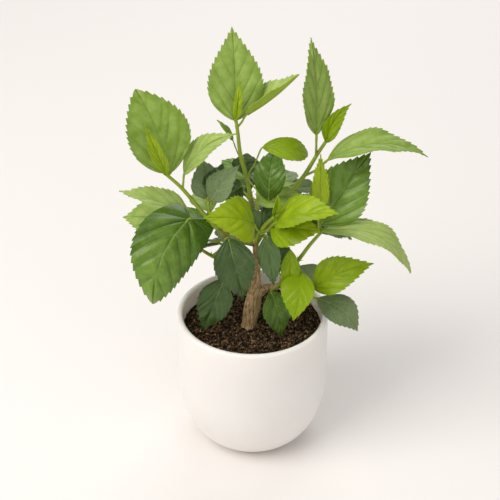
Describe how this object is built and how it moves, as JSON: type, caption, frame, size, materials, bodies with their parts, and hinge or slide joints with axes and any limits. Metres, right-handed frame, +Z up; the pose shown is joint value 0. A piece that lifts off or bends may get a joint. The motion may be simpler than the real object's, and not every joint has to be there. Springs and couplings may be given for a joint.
{
  "type": "potted hibiscus shrub",
  "caption": "Small hibiscus shrub with a short woody trunk, upright forking stems and broad toothed leaves, growing in a plain white round-bottomed pot of compost.",
  "frame": {"origin": "centre of the flat underside of the pot", "axes": "+Z up from the pot's underside to the top of the plant; -Y is the front, which the bright front leaves face; +X is to the right seen from the front"},
  "size_m": [0.2296, 0.1567, 0.3456],
  "materials": {
    "ceramic": "plain white, satin",
    "compost": "damp, crumbly, near-black brown",
    "bark": "pale tan, fibrous",
    "young_bark": "olive green, smooth",
    "foliage": "green, softly glossy"
  },
  "bodies": {
    "root": {"pot": "ceramic", "soil": "compost", "trunk": "bark", "bough_leader": "bark", "bough_low_right": "bark", "bough_left": "young_bark", "bough_centre": "young_bark", "bough_right": "young_bark", "foliage_left": "foliage", "foliage_centre": "foliage", "foliage_right": "foliage", "foliage_front": "foliage", "foliage_low_left": "foliage", "foliage_low_right": "foliage", "foliage_back_left": "foliage", "foliage_back_right": "foliage", "foliage_back_upper": "foliage"}
  },
  "joints": []
}
